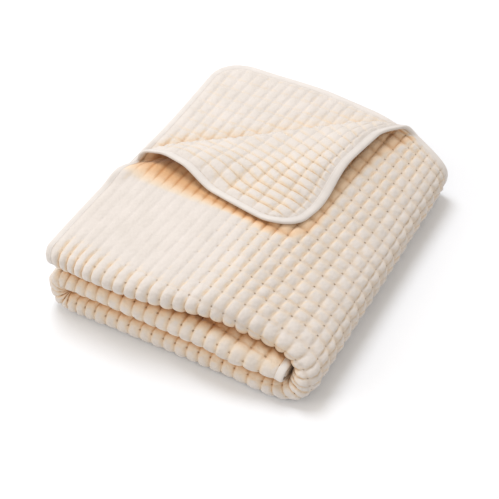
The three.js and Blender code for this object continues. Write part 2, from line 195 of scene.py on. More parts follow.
# Slow waves: their sizes in millimetres, and how often they turn
WAVE_HEIGHT = 1.6
WAVE_ACROSS = 5.1
WAVE_ALONG = 3.3
DIP_ALONG = 6.3
DIP_PHASE = 1.2
BULGE = 3.2
BULGE_UP = 2.1
BULGE_ACROSS = 4
RIPPLE = 1.8
RIPPLE_UP = 3.4
RIPPLE_ACROSS = 7
BULGE_AT_FRONT = 0.6
END_WAVE = 3.5
END_WAVE_UP = 2.4
END_WAVE_ALONG = 5

# Quilting grid: columns in each strand, rows along the cloth, and the mesh lines in a cell
COLUMNS = {"top": 20, "big_wrap": 10, "lower": 17, "small_wrap": 6, "middle": 17}
COLUMN_WIDTH = 16.5
ROW_DEPTH = 22.1
ROW_PHASE = 0.43
ROW_SHIFT_RUN = 38
COLUMN_STEPS = (0, 0.12, 0.3, 0.5, 0.7, 0.88)
ROW_STEPS = (0, 0.08, 0.2, 0.5, 0.8, 0.92)
EDGE_MARKS = (0.45, 1.8)
FIRST_MARK = 3
LAST_MARK_GAP = 0.5
LEAST_LINE_GAP = 1.2
FLAP_MARGIN = 12
FRONT_FINE = 30
LAYER_POINTS = 10
BEND_POINTS = 6

# Multipliers that scatter neighbouring cells of the quilting
SCATTER_COLUMN = 127.1
SCATTER_ROW = 311.7
SCATTER_SEED = 74.7
SCATTER_GAIN = 43758.5453

# Outer face: tall soft cells, pressed flat at the left of the top layer
GROOVE_HALF = 1.2
GROOVE_PRESSED = 2.6
CREST_UNEVEN = 0.35
PUFF = 1.1
PUFF_UNEVEN = 0.4
PRESSED_END = 330
PRESSED_FADE = 230
PRESSED_PAST = 6
PRESSED_RUN = 45
CHANNEL_POWER = 2.2
CHANNEL_STEEP = 0.6

# Rows pinch the cells, less where these are pressed and on the front lips
ROW_PINCH = 0.88
PINCH_PRESSED = 0.7
PINCH_WIDTH = 4.6
LIP_PINCH = 0.5
LIP_BEFORE = 4
LIP_AFTER = 44
LIP_FADE = 10

# The cells are flatter past the big wrap
LOWER_PINCH = 0.6
LOWER_GROOVE = 0.6
LOWER_CREST = 0.5

# The cells are taller and tighter towards the big wrap
TIGHT_START = 90
TIGHT_RUN = 160
TIGHT_PAST = 12
TIGHT_FADE = 20
TIGHT_GROOVE = 0.35
TIGHT_CREST = 0.5
TIGHT_POWER = 0.25

# Inner face, which shows on the flap: flat cells at the crease, puffed ones at the corner
FLAP_PRESSED = 0.8
FLAP_LOOSER = 0.75
FLAP_LOOSE_START = 30
FLAP_LOOSE_RUN = 80
FLAP_GROOVE = 1.9
FLAP_GROOVE_PRESSED = 1.7
FLAP_CREST = 0.9
FLAP_ROW_FLOOR = 0.12
FLAP_CHANNEL_POWER = 3
FLAP_ROW_POWER = 3.4
FLAP_STEEP = 0.7

# Stitch hole at each crossing: its half sizes as shares of a cell, and its depth
HOLE_ACROSS = 0.18
HOLE_ALONG = 0.12
HOLE_DEPTH = 0.9
HOLE_PRESSED = 0.8

# Quilting fades out where the layers hide it
HIDDEN_GROOVE = 0.3
FRONT_SHOWN = 24
WRAP_FADE = 12
UNDER_FADE = 8
CREASE_SHOWN = 25
CREASE_FADE = 10
TOP_END_FADE = 6

# How shut in by the cloth a point is, felt out with rays of this reach in metres, for the painted shade
RECESS_RAYS = 12
RECESS_REACH = 60 * MM
RAY_START = 0.6 * MM
GOLDEN_ANGLE = 2.399963
UPRIGHT = 0.9

# The strands past the big wrap get a little more painted shade, as if a little more shut in
LOWER_SHADE = 0.04
LOWER_SHADE_RUN = 20

# Warm shade below the flap, wider and stronger along its left margin, drawn in where it curls
FLAP_SHADE = 14
SHADE_RIGHT = 0.6
SHADE_LEFT = 2.5
SHADE_LEFT_RUN = 210
SHADE_CURL = 14
SHADE_WARMTH = 0.38
SHADE_LEFT_WARMTH = 0.34
SHADE_TURN = 40
SHADE_FADE = 1.1


def smooth(x):
    """From 0 to 1 as x goes from 0 to 1, flat at both ends."""
    x = np.clip(x, 0, 1)
    return x * x * (3 - 2 * x)


def near(value, centre, reach):
    """1 at the centre, falling to 0 at the reach on both sides of it."""
    return smooth(1 - np.abs(value - centre) / reach)


def rise_and_fall(value, start, rise, top, fall):
    """Up from 0 to 1 past the start, and down to 0 again past the top."""
    return smooth((value - start) / rise) * (1 - smooth((value - top) / fall))


def frontness(y):
    """0 at the back and middle of the bundle, up to 1 at its front."""
    return smooth((y - FRONT_START * BUNDLE_DEPTH) / (FRONT_RUN * BUNDLE_DEPTH))


def past_crease(u, v):
    """Distance past the crease line of the top layer, positive towards the corner."""
    return (u + EDGE) * CREASE_U + (v + EDGE - CREASE_AT_LEFT) * CREASE_V


def in_top_layer(u, v):
    """Whether a place on the cloth is in the layer whose corner is turned back."""
    return (v <= FOLD_1) & (u <= TOP_LENGTH)


def through_layers(v, w):
    """Position in a strand: y from the back edge, t outward from the strand's middle."""
    turn_1 = (v - FOLD_1) / OUTER_FOLD_RADIUS
    turn_2 = (v - FOLD_2) / INNER_FOLD_RADIUS
    turn_3 = (v - FOLD_3) / INNER_FOLD_RADIUS
    parts = [v <= FOLD_1, v <= LAYER_4, v <= FOLD_2, v <= LAYER_3, v <= FOLD_3, v <= LAYER_2]
    y = np.select(
        parts,
        [
            v,
            FOLD_1 + (OUTER_FOLD_RADIUS + w) * np.sin(turn_1),
            FOLD_1 - (v - LAYER_4),
            BACK_FOLD_Y - (INNER_FOLD_RADIUS + w) * np.sin(turn_2),
            BACK_FOLD_Y + v - LAYER_3,
            INNER_FOLD_Y + (INNER_FOLD_RADIUS - w) * np.sin(turn_3),
        ],
        INNER_FOLD_Y - (v - LAYER_2),
    )
    t = np.select(
        parts,
        [
            1.5 * LAYER_PITCH + w,
            (OUTER_FOLD_RADIUS + w) * np.cos(turn_1),
            -1.5 * LAYER_PITCH - w,
            -LAYER_PITCH - (INNER_FOLD_RADIUS + w) * np.cos(turn_2),
            -0.5 * LAYER_PITCH + w,
            -(INNER_FOLD_RADIUS - w) * np.cos(turn_3),
        ],
        0.5 * LAYER_PITCH - w,
    )
    return y, t


def across_strands(u, t):
    """Position across the bundle: x from its left edge, z from the floor."""
    turn_big = (u - BIG_WRAP) / BIG_RADIUS
    turn_small = (u - SMALL_WRAP) / SMALL_RADIUS
    power = WRAP_POWER - WRAP_POWER_CHANGE * np.clip(t / (2 * LAYER_PITCH), -1, 1)
    turn_in = np.clip(turn_big, 0, math.pi)
    square = (np.abs(np.sin(turn_in)) ** power + np.abs(np.cos(turn_in)) ** power) ** (-1 / power)
    pressed_out = END_PUSH * np.clip(0.5 - t / STRAND, 0, 1) * np.sin(turn_in)
    parts = [u <= BIG_WRAP, u <= LOWER, u <= SMALL_WRAP, u <= MIDDLE]
    x = np.select(
        parts,
        [
            EDGE + u,
            WRAP_X + (BIG_RADIUS + t) * square * np.sin(turn_big) + pressed_out,
            WRAP_X - (u - LOWER),
            SMALL_WRAP_X - (SMALL_RADIUS + t) * np.sin(turn_small),
        ],
        SMALL_WRAP_X + (u - MIDDLE),
    )
    z = np.select(
        parts,
        [
            2.5 * STRAND + t,
            1.5 * STRAND + (BIG_RADIUS + t) * square * np.cos(turn_big),
            0.5 * STRAND - t,
            STRAND - (SMALL_RADIUS + t) * np.cos(turn_small),
        ],
        1.5 * STRAND + t,
    )
    return x, z


def step_back(u):
    """How far the front folds lie back at u."""
    top = smooth((u - STEP_START) / STEP_RUN)
    at_wrap = smooth((BIG_WRAP - STEP_START) / STEP_RUN)
    wrap = at_wrap * (1 - smooth((u - BIG_WRAP) / (LOWER - BIG_WRAP)))
    end = MIDDLE_STEP * smooth((u - CLOTH_WIDTH + MIDDLE_STEP_RUN) / MIDDLE_STEP_RUN)
    return STEP_BACK * np.where(u < BIG_WRAP, top, wrap) + end


def stepped_layers(u, v, w):
    """Position in a strand, with its front folds drawn back."""
    step = step_back(u)
    early = smooth((v - FOLD_1 + STEP_REACH) / STEP_REACH) * (1 - smooth((v - LAYER_4) / STEP_FADE))
    y, t = through_layers(v + step * early, w)
    return y - step * smooth((y - FOLD_1 + STEP_REACH) / STEP_REACH), t


def rolled_over(past, w):
    """The turned corner's shift across the crease, its lift, and its slide along the crease."""
    turn = np.clip(past / ROLL_RADIUS, 0, math.pi)
    back = np.maximum(past - ROLL_LENGTH, 0)
    in_roll = past <= ROLL_LENGTH
    shift = np.where(in_roll, (ROLL_RADIUS - w) * np.sin(turn), -back) - past
    roll_lift = ROLL_RADIUS - (ROLL_RADIUS - w) * np.cos(turn)
    sink = (2 * ROLL_RADIUS - FLAP_REST_LIFT) * smooth(back / FLAP_REST_RUN)
    lift = np.where(in_roll, roll_lift, 2 * ROLL_RADIUS - sink - w)
    return shift, lift, FLAP_SHEAR * back


def on_top_layer(u, v, w):
    """The corner rolls over the crease and lies back on the top layer, underside up."""
    y, t = stepped_layers(u, v, w)
    past = past_crease(u, v)
    top = in_top_layer(u, v)
    turned = (past > 0) & top
    shift, lift, slide = rolled_over(past, w)
    arch = rise_and_fall(past, RAISED_START, ARCH_RISE, ARCH_TOP, ARCH_FALL)
    arch = arch * (1 - smooth(u / ARCH_WIDTH)) * turned
    curl = rise_and_fall(past, RAISED_START, CURL_RISE, CURL_TOP, CURL_FALL)
    curl = curl * (1 - smooth(v / CURL_WIDTH)) * turned
    hump = near(past, -HUMP_BEFORE, HUMP_REACH) * (1 - smooth(u / HUMP_WIDTH)) * top
    tuck = near(past, TUCK_PAST, TUCK_REACH) * (1 - smooth(u / TUCK_WIDTH)) * top
    u = np.where(turned, u + shift * CREASE_U - slide * CREASE_V, u)
    y = np.where(turned, v + shift * CREASE_V + slide * CREASE_U, y)
    t = np.where(turned, 1.5 * LAYER_PITCH + lift, t)
    return (
        u + TUCK_IN * tuck - CURL_LEFT * curl,
        y - ARCH_DRAW * arch + CURL_FORWARD * curl,
        t + ARCH_LIFT * arch + CURL_LIFT * curl + HUMP_LIFT * hump,
    )


def dent(x, y):
    """How far the layers sink below the flap's left margin."""
    along = near(past_crease(x - EDGE, y - EDGE), DENT_PAST, DENT_REACH)
    across = rise_and_fall(x, DENT_LEFT, DENT_RISE, DENT_FULL, DENT_END - DENT_FULL)
    return DENT_DEPTH * along * across


def settle(x, y, z):
    """Soft unevenness of the bundle."""
    height = np.clip((z - FOOT) / (BUNDLE_HEIGHT - FOOT), 0, 1)
    from_front = (BUNDLE_DEPTH - y) / BUNDLE_DEPTH
    across = x / BUNDLE_WIDTH
    fold = z / STRAND
    front = frontness(y)
    back = smooth((from_front - BACK_START) / BACK_RUN)
    drop = SHOULDER_DROP * smooth((x - SHOULDER_START) / SHOULDER_RUN)
    drop = drop * (1 - SHOULDER_LESS_AT_BACK * back)
    wave = np.sin(WAVE_ACROSS * across + WAVE_ALONG * from_front)
    wave = WAVE_HEIGHT * (wave - np.sin(DIP_ALONG * from_front - DIP_PHASE))
    lean = LEAN * (0.5 * BUNDLE_DEPTH - y)
    lean = lean * smooth(across / LEAN_FADE) * smooth((1 - across) / LEAN_FADE)
    bulge = BULGE * np.sin(BULGE_UP * fold + BULGE_ACROSS * across)
    bulge = bulge + RIPPLE * np.cos(RIPPLE_UP * fold - RIPPLE_ACROSS * across)
    ridge = RIDGE_OUT * np.exp(-(((z - 1.5 * STRAND) / RIDGE_HALF) ** 2))
    skew = FRONT_SKEW * (0.5 * BUNDLE_WIDTH - x) + FOOT_SPREAD * (1 - height)
    skew = skew + BULGE_AT_FRONT * bulge + ridge
    tip = LEFT_TIP * np.exp(-(((fold - 1.5) / LEFT_TIP_HALF) ** 2)) * front
    end_wave = END_WAVE * np.sin(END_WAVE_UP * fold + END_WAVE_ALONG * from_front)
    left_end = smooth(1 - x / LEFT_END_REACH) * (end_wave - LEFT_END_IN + tip)
    spread = LEFT_SPREAD * (1 - across) * (1 - from_front) + BACK_LEFT_SPREAD * (1 - across) * back
    spread = spread + BACK_SKEW_ACROSS * BACK_SKEW * across * from_front
    bow = BACK_BOW * back * smooth((across - BOW_START) / BOW_RUN)
    bow = bow * (1 - BOW_LESS_AT_RIGHT * smooth((across - BOW_RIGHT) / (1 - BOW_RIGHT)))
    return (
        x + lean - left_end - spread,
        y + front * skew + BACK_SKEW * across * from_front - bow,
        z - height * (drop + wave),
    )


def place(u, v, w):
    """Full map from the flat cloth to the folded bundle, in metres."""
    along, y, t = on_top_layer(u, v, w)
    x, z = across_strands(along, t)
    y = y + EDGE
    flap = (past_crease(u, v) > 0.5 * ROLL_LENGTH) & in_top_layer(u, v)
    z = z - dent(x, y) * np.clip(z / BUNDLE_HEIGHT, 0, 1) ** DENT_POWER * ~flap
    x, y, z = settle(x, y, z)
    x = x - 0.5 * BUNDLE_WIDTH - CENTRE_X
    y = 0.5 * BUNDLE_DEPTH - y - CENTRE_Y
    return np.stack([x, y, z - FOOT], axis=-1) * MM


# Strands with their lines: name, start, length, and the bends that stay where the face is hidden
STRANDS = [
    ("top", 0, TOP_LENGTH, (4, 9, 12, 14, 15, 16, 17, 18, 19, 20)),
    ("big_wrap", BIG_WRAP, LOWER - BIG_WRAP, tuple(np.arange(0.5, 10.1, 0.5))),
    ("lower", LOWER, LOWER_LENGTH, (1, 2, 3, 4, 5, 6, 8, 12, 17)),
    ("small_wrap", SMALL_WRAP, MIDDLE - SMALL_WRAP, tuple(np.arange(0.5, 6.1, 0.5))),
    ("middle", MIDDLE, MIDDLE_LENGTH, (5, 9, 11, 12, 13, 14, 15, 16, 17)),
]


def column_lines(fine):
    """Places across the cloth of a line's points: every step of a column in the fine strands."""
    lines = [0.0]
    for name, start, length, bends in STRANDS:
        count = COLUMNS[name]
        marks = bends
        if name in fine:
            marks = [k + step for k in range(count) for step in COLUMN_STEPS][1:] + [count]
        lines += [start + length * mark / count for mark in marks]
    return np.array(lines)


LINES = {
    "all": column_lines(("top", "big_wrap", "lower", "small_wrap", "middle")),
    "outer": column_lines(("top", "big_wrap", "small_wrap")),
    "top": column_lines(("top",)),
    "bends": column_lines(()),
}


def column_of(u):
    """Quilting column at u, a whole number on each groove."""
    marks = np.zeros_like(u)
    first = 0
    for name, start, length, _ in STRANDS:
        marks = np.where(u >= start, first + (u - start) / length * COLUMNS[name], marks)
        first += COLUMNS[name]
    return marks


def row_shift(u, v):
    """How far the straight quilting rows stray from lines of equal v on the top layer."""
    x = across_strands(u, np.full_like(u, 1.5 * LAYER_PITCH))[0]
    from_front = 1 - np.clip((v + EDGE) / BUNDLE_DEPTH, 0, 1)
    shift = frontness(v + EDGE) * FRONT_SKEW * (0.5 * BUNDLE_WIDTH - x)
    shift = shift + BACK_SKEW * x / BUNDLE_WIDTH * from_front
    return shift * smooth(v / ROW_SHIFT_RUN) * smooth((LAYER_4 - v) / (LAYER_4 - FOLD_1))


class Line:
    """A line of the cloth's mesh across its width, at one place in its depth."""

    def __init__(self, v, row, outer, inner):
        self.v = v
        self.row = row
        self.outer = outer
        self.inner = inner

    def at(self, u):
        """Depth of each of the line's points, which stray as the quilting rows do."""
        v = np.full_like(u, self.v)
        return v - row_shift(u, v) if 0 < self.v < LAYER_4 else v


def row_marks(limit):
    """Places of the mesh lines in from an end of the cloth, row by row up to the limit."""
    rows = range(math.ceil(limit / ROW_DEPTH) + 1)
    marks = [(row + step + ROW_PHASE - 1) * ROW_DEPTH for row in rows for step in ROW_STEPS]
    return [*EDGE_MARKS, *(mark for mark in marks if FIRST_MARK < mark < limit)]


def make_lines():
    """All lines: the top layer and its front fold, the hidden folds, and the layer below the flap."""
    flap_end = CREASE_AT_LEFT + FLAP_MARGIN
    lines = [Line(0.0, -ROW_PHASE, "outer", "outer")]
    for v in row_marks(LAYER_4 - LAST_MARK_GAP):
        outer = "all" if v > FOLD_1 - FRONT_FINE else "outer"
        inner = "top" if v < flap_end else "bends"
        lines.append(Line(v, v / ROW_DEPTH - ROW_PHASE, outer, inner))
    hidden = [
        (LAYER_4, FOLD_2, LAYER_POINTS),
        (FOLD_2, LAYER_3, BEND_POINTS),
        (LAYER_3, FOLD_3, LAYER_POINTS),
        (FOLD_3, LAYER_2, BEND_POINTS),
    ]
    for start, end, count in hidden:
        for v in np.linspace(start, end, count)[:-1]:
            lines.append(Line(v, 0, "bends", "bends"))
    last_row = math.ceil((CLOTH_DEPTH - LAYER_2) / ROW_DEPTH - ROW_PHASE)
    for gap in reversed(row_marks((last_row + ROW_PHASE - 1) * ROW_DEPTH)):
        inner = "top" if gap < flap_end else "bends"
        lines.append(Line(CLOTH_DEPTH - gap, gap / ROW_DEPTH - ROW_PHASE, "bends", inner))
    lines.append(Line(CLOTH_DEPTH, 0, "outer", "outer"))
    return lines


def side_inset(v):
    """How far the rounded corners of the cloth draw its side edges in at v."""
    from_end = np.minimum(v, CLOTH_DEPTH - v)
    reach = np.clip(CORNER_RADIUS - from_end, 0, CORNER_RADIUS)
    return CORNER_RADIUS - np.sqrt(CORNER_RADIUS**2 - reach**2)


def off_edge(u, v):
    """Distance in from the cloth's edge and the direction that points off it."""
    du = u - np.clip(u, CORNER_RADIUS, CLOTH_WIDTH - CORNER_RADIUS)
    dv = v - np.clip(v, CORNER_RADIUS, CLOTH_DEPTH - CORNER_RADIUS)
    length = np.hypot(du, dv)
    safe = np.where(length > TINY, length, 1)
    return CORNER_RADIUS - length, du / safe, dv / safe


def cell_noise(column, row, seed):
    """A steady value from -1 to 1 for each cell of the quilting."""
    turn = np.floor(column) * SCATTER_COLUMN + np.floor(row) * SCATTER_ROW + seed * SCATTER_SEED
    value = np.sin(turn) * SCATTER_GAIN
    return 2 * (value - np.floor(value)) - 1


def pillow(share, power, steep):
    """Height across one cell, 0 on its grooves and 1 on its middle."""
    return np.clip(1 - np.abs(2 * share - 1) ** power, 0, 1) ** steep


def in_cell(u, row):
    """Column of the quilting, and the shares of the way across and along its cell."""
    column = column_of(u)
    across = np.clip(column - np.floor(column + TINY), 0, 1)
    along = np.clip(row - np.floor(row + TINY), 0, 1)
    return column, across, along


def outer_quilting(u, v, row):
    """Half thickness of the outer face, how raised it is between grooves, and how pressed flat."""
    column, across, along = in_cell(u, row)
    pressed = smooth((FOLD_1 + PRESSED_PAST - v) / PRESSED_RUN) * smooth((PRESSED_END - u) / PRESSED_FADE)
    pressed = pressed * (v < FOLD_1)
    tight = (1 - pressed) * smooth((u - TIGHT_START) / TIGHT_RUN)
    tight = tight * smooth((FOLD_1 + TIGHT_PAST - v) / TIGHT_FADE)
    lower = u > LOWER
    puff = PUFF + PUFF_UNEVEN * cell_noise(column, row, 2)
    crest = CREST_HALF + CREST_UNEVEN * cell_noise(column, row, 1) + puff * (1 - pressed)
    crest = crest + TIGHT_CREST * tight - LOWER_CREST * lower
    floor = GROOVE_HALF + GROOVE_PRESSED * pressed - TIGHT_GROOVE * tight + LOWER_GROOVE * lower
    lip = smooth((v - FOLD_1 + LIP_BEFORE) / LIP_FADE) * smooth((FOLD_1 + LIP_AFTER - v) / LIP_FADE)
    pinch = (ROW_PINCH - PINCH_PRESSED * pressed) * (1 - LIP_PINCH * lip)
    from_row = ROW_DEPTH * np.minimum(along, 1 - along)
    pinch = pinch * np.where(lower, LOWER_PINCH, 1) * np.exp(-((from_row / (PINCH_WIDTH - pressed)) ** 2))
    raised = pillow(across, CHANNEL_POWER, CHANNEL_STEEP) * (1 - pinch)
    half = floor + (crest - floor) * raised ** (1 + TIGHT_POWER * tight)
    return half, raised, pressed


def inner_quilting(u, v, row):
    """The same three values for the inner face."""
    column, across, along = in_cell(u, row)
    past = past_crease(u, v) * (v < LAYER_4)
    pressed = FLAP_PRESSED - FLAP_LOOSER * smooth((past - FLAP_LOOSE_START) / FLAP_LOOSE_RUN)
    raised = FLAP_ROW_FLOOR + (1 - FLAP_ROW_FLOOR) * pillow(along, FLAP_ROW_POWER, FLAP_STEEP)
    raised = raised * pillow(across, FLAP_CHANNEL_POWER, FLAP_STEEP)
    crest = CREST_HALF + CREST_UNEVEN * cell_noise(column, row, 1) + FLAP_CREST
    floor = FLAP_GROOVE + FLAP_GROOVE_PRESSED * pressed
    return floor + (crest - floor) * raised, raised, pressed


def quilting(u, v, row, side):
    """Half thickness of one face with its stitch holes, how deep in a groove, and how puffed."""
    make = outer_quilting if side > 0 else inner_quilting
    half, raised, pressed = make(u, v, row)
    _, across, along = in_cell(u, row)
    from_side = np.minimum(across, 1 - across) / HOLE_ACROSS
    from_row = np.minimum(along, 1 - along) / HOLE_ALONG
    hole = np.exp(-(from_side**2) - from_row**2)
    return half - HOLE_DEPTH * hole * (1 - HOLE_PRESSED * pressed), 1 - raised, 1 - pressed


def quilting_shown(u, v, side):
    """1 where a face's quilting shows, fading to 0 where the layers hide it."""
    if side > 0:
        before_front = smooth((LOWER - WRAP_FADE - u) / WRAP_FADE)
        shown = smooth((LAYER_4 - v) / UNDER_FADE) * np.where(v < FOLD_1 - FRONT_SHOWN, before_front, 1)
        return np.maximum(shown, (v < FOLD_1) & (u > SMALL_WRAP) & (u < MIDDLE))
    flap_end = CREASE_AT_LEFT + FLAP_MARGIN
    past = np.where(v < LAYER_4, past_crease(u, v), past_crease(u, CLOTH_DEPTH - v))
    at_corner = (v < flap_end) | (v > CLOTH_DEPTH - flap_end)
    shown = at_corner * smooth((past + CREASE_SHOWN) / CREASE_FADE)
    return shown * smooth((TOP_LENGTH - u) / TOP_END_FADE)


class ClothMesh:
    """Points and faces of the cloth, made line by line."""

    def __init__(self):
        self.u = []
        self.v = []
        self.row = []
        self.side = []
        self.faces = []

    def add_line(self, line, side):
        """Adds one line of a face, and returns its places and its first point's number."""
        columns = LINES[line.outer if side > 0 else line.inner]
        ends = line.at(np.array([0.0, CLOTH_WIDTH]))
        inset = side_inset(np.clip(ends, 0, CLOTH_DEPTH))
        least = inset[0] + LEAST_LINE_GAP
        most = CLOTH_WIDTH - inset[1] - LEAST_LINE_GAP
        between = columns[(columns > least) & (columns < most)]
        u = np.concatenate([[inset[0]], between, [CLOTH_WIDTH - inset[1]]])
        first = sum(len(part) for part in self.u)
        self.u.append(u)
        self.v.append(line.at(u))
        self.row.append(np.full_like(u, line.row))
        self.side.append(np.full(len(u), side))
        return u, first

    def fill(self, low, high, side):
        """Joins two lines: quads where their points face each other, triangles elsewhere."""
        u_low, first_low = low
        u_high, first_high = high
        i = 0
        j = 0
        while i < len(u_low) - 1 or j < len(u_high) - 1:
            next_low = u_low[i + 1] if i < len(u_low) - 1 else math.inf
            next_high = u_high[j + 1] if j < len(u_high) - 1 else math.inf
            paired = abs(next_low - next_high) < SAME_PLACE
            face = [first_low + i]
            if paired or next_low < next_high:
                i += 1
                face.append(first_low + i)
            if paired or next_low >= next_high:
                face += [first_high + j + 1, first_high + j]
                j += 1
            else:
                face.append(first_high + j)
            self.faces.append(face if side < 0 else face[::-1])


def cloth_edge(outer_lines, inner_lines):
    """Pairs of outer and inner points in order round the cloth's edge."""
    pairs = []
    back_outer, back_inner = outer_lines[0], inner_lines[0]
    front_outer, front_inner = outer_lines[-1], inner_lines[-1]
    for k in range(len(back_outer[0])):
        pairs.append((back_outer[1] + k, back_inner[1] + k))
    for outer, inner in zip(outer_lines[1:-1], inner_lines[1:-1]):
        pairs.append((outer[1] + len(outer[0]) - 1, inner[1] + len(inner[0]) - 1))
    for k in reversed(range(len(front_outer[0]))):
        pairs.append((front_outer[1] + k, front_inner[1] + k))
    for outer, inner in zip(outer_lines[-2:0:-1], inner_lines[-2:0:-1]):
        pairs.append((outer[1], inner[1]))
    return pairs


def make_object(name, points, faces, material):
    mesh = bpy.data.meshes.new(name)
    mesh.from_pydata(points.tolist(), [], faces)
    mesh.update()
    mesh.shade_smooth()
    mesh.materials.append(material)
    obj = bpy.data.objects.new(name, mesh)
    bpy.context.scene.collection.objects.link(obj)
    return obj


def add_layer(obj, name, values):
    """Gives every point of the mesh one number, which the materials read."""
    layer = obj.data.attributes.new(name, "FLOAT", "POINT")
    layer.data.foreach_set("value", np.asarray(values, dtype=np.float32))


def occlusion_shade(tree, points, normals):
    """How far the cloth closes in round each point, from 0 in the open to 1 deep in a fold, painted as
    shade by the materials.
    """
    k = np.arange(RECESS_RAYS) + 0.5
    rise = np.sqrt(1 - k / RECESS_RAYS)
    spread = np.sqrt(k / RECESS_RAYS)
    turn = k * GOLDEN_ANGLE
    helper = np.where(np.abs(normals[:, 2:3]) < UPRIGHT, [[0.0, 0.0, 1.0]], [[1.0, 0.0, 0.0]])
    side = np.cross(normals, helper)
    side /= np.linalg.norm(side, axis=1, keepdims=True)
    other = np.cross(normals, side)
    starts = points + normals * RAY_START
    painted_shade = np.zeros(len(points))
    for up, out, angle in zip(rise, spread, turn):
        rays = normals * up + out * (side * math.cos(angle) + other * math.sin(angle))
        for index, (start, ray) in enumerate(zip(starts.tolist(), rays.tolist())):
            distance = tree.ray_cast(start, ray, RECESS_REACH)[3]
            if distance is not None:
                painted_shade[index] += 1 - (distance / RECESS_REACH) ** 2
    return painted_shade / RECESS_RAYS


def painted_flap_shade(u, v):
    """Painted shade on the top layer where the flap hangs over it, fading out past the flap's edge."""
    before = np.maximum(-past_crease(u, v), 0)
    slide = FLAP_SHEAR * before
    from_left = u + 2 * before * CREASE_U + slide * CREASE_V
    from_right = v + 2 * before * CREASE_V - slide * CREASE_U
    from_right = from_right - SHADE_CURL * rise_and_fall(before, 0, CURL_RISE, CURL_TOP, CURL_FALL)
    round_left = np.maximum(CORNER_RADIUS - from_left, 0)
    round_right = np.maximum(CORNER_RADIUS - from_right, 0)
    inside = CORNER_RADIUS - np.hypot(round_left, round_right)
    inside = np.minimum(inside, np.minimum(from_left, from_right))
    reach = FLAP_SHADE * (SHADE_RIGHT + SHADE_LEFT * (1 - smooth(u / SHADE_LEFT_RUN)))
    warmth = SHADE_WARMTH + SHADE_LEFT_WARMTH * smooth((from_right - from_left) / SHADE_TURN)
    shade = warmth * smooth((inside + reach) / (SHADE_FADE * reach))
    return shade * in_top_layer(u, v) * (past_crease(u, v) < 0)


def cloth_mesh():
    """Points and faces of both sides and the edge, and the pairs of points round the edge."""
    lines = make_lines()
    mesh = ClothMesh()
    sides = {}
    for side in (1, -1):
        made = [mesh.add_line(line, side) for line in lines]
        for low, high in zip(made, made[1:]):
            mesh.fill(low, high, side)
        sides[side] = made
    edge = cloth_edge(sides[1], sides[-1])
    for (a, c), (b, d) in zip(edge, edge[1:] + edge[:1]):
        mesh.faces.append((a, b, d, c))
    return mesh, edge


def quilt_both(u, v, row, side):
    """Each point's half thickness, how deep in a groove it is, and how puffed, on either side."""
    half = np.full_like(u, FLAT_HALF)
    groove = np.full_like(u, HIDDEN_GROOVE)
    loose = np.zeros_like(u)
    for face in (1, -1):
        here = side == face
        quilted, sunk, puffed = quilting(u, v, row, face)
        shown = quilting_shown(u, v, face)
        half = np.where(here, FLAT_HALF + (quilted - FLAT_HALF) * shown, half)
        groove = np.where(here, HIDDEN_GROOVE + (sunk - HIDDEN_GROOVE) * shown, groove)
        loose = np.where(here, puffed, loose)
    from_edge = off_edge(u, v)[0]
    half = EDGE_HALF + (half - EDGE_HALF) * smooth((from_edge + 1) / EDGE_EASE)
    return half, groove, loose


def build_cloth(material):
    """The quilted cloth, and what its binding needs: the places round its edge and a search tree."""
    mesh, edge = cloth_mesh()
    u = np.concatenate(mesh.u)
    v = np.concatenate(mesh.v)
    row = np.concatenate(mesh.row)
    side = np.concatenate(mesh.side)
    half, groove, loose = quilt_both(u, v, row, side)
    points = place(u, v, side * half)
    points[:, 2] = np.maximum(points[:, 2], 0)
    obj = make_object("throw_cloth", points, mesh.faces, material)
    normals = np.zeros(len(points) * 3)
    obj.data.vertices.foreach_get("normal", normals)
    tree = BVHTree.FromPolygons(points.tolist(), mesh.faces)
    # Painted shade: how shut in each point is, which darkens and warms the plush colour
    painted_shade = occlusion_shade(tree, points, normals.reshape(-1, 3))
    # Painted shade below the flap
    painted_shade = np.maximum(painted_shade, painted_flap_shade(u, v) * (side > 0))
    # A little more painted shade on the strands past the big wrap
    painted_shade = painted_shade + LOWER_SHADE * smooth((u - LOWER) / LOWER_SHADE_RUN)
    layers = {"groove": groove, "row": row, "column": column_of(u), "loose": loose, "occlusion_shade": painted_shade}
    for name, values in layers.items():
        add_layer(obj, name, values)
    stations = np.array([(u[a], v[a]) for a, _ in edge])
    return obj, stations, tree


# One side of the binding's section: how far off the cloth's edge, and how far off its middle face
BINDING_SIDE = [
    (-0.9, 1.2), (-0.7, 2.3), (0.1, 2.6), (0.8, 2.2), (1.5, 2.5),
    (3.4, 2.7), (5.6, 2.8), (7.2, 2.3), (8.0, 0.9),
]
BINDING_SECTION = BINDING_SIDE + [(off, -w) for off, w in reversed(BINDING_SIDE)]
LEAST_STATION_GAP = 1.6


